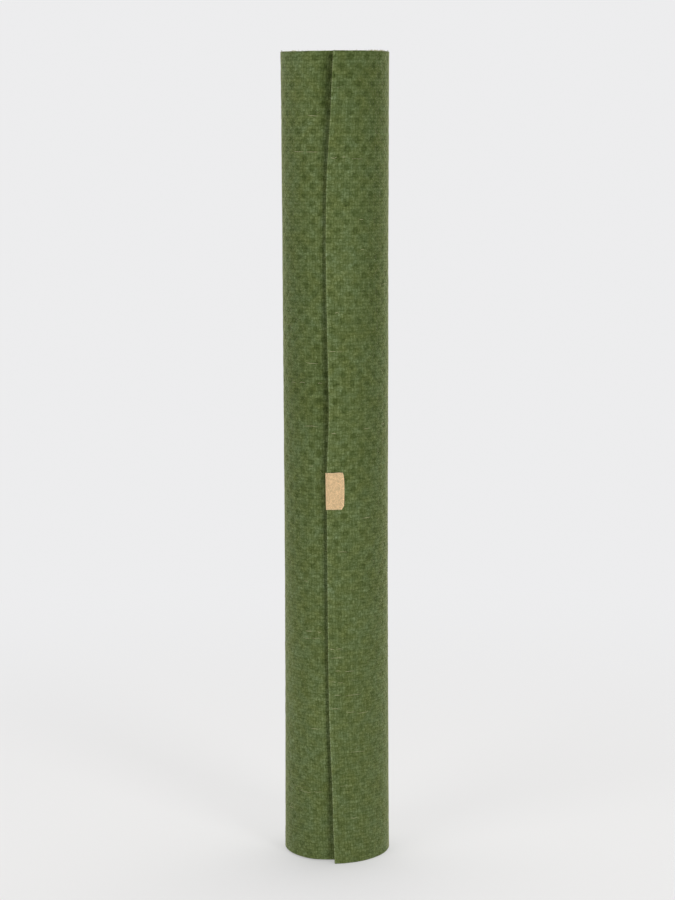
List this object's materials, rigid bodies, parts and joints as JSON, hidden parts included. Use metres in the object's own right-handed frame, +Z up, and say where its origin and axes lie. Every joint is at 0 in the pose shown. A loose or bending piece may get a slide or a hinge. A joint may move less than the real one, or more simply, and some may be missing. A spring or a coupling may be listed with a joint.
{
  "type": "rolled jute yoga mat",
  "caption": "Green jute yoga mat rolled up and standing on one end, with a loose free edge down the front, an open core and a small cloth label folded over the edge.",
  "frame": {"origin": "centre of the base, which is the lower end of the roll that it stands on, taken as the middle of the part's box", "axes": "+Z up along the roll; the front, where the free edge and the label show, faces -Y; +X is to the right seen from the front"},
  "size_m": [0.0804, 0.084, 0.61],
  "materials": {
    "jute_mat": "matte",
    "label_tape": "matte"
  },
  "bodies": {
    "root": {"mat_roll": "jute_mat", "label": "label_tape"}
  },
  "joints": []
}
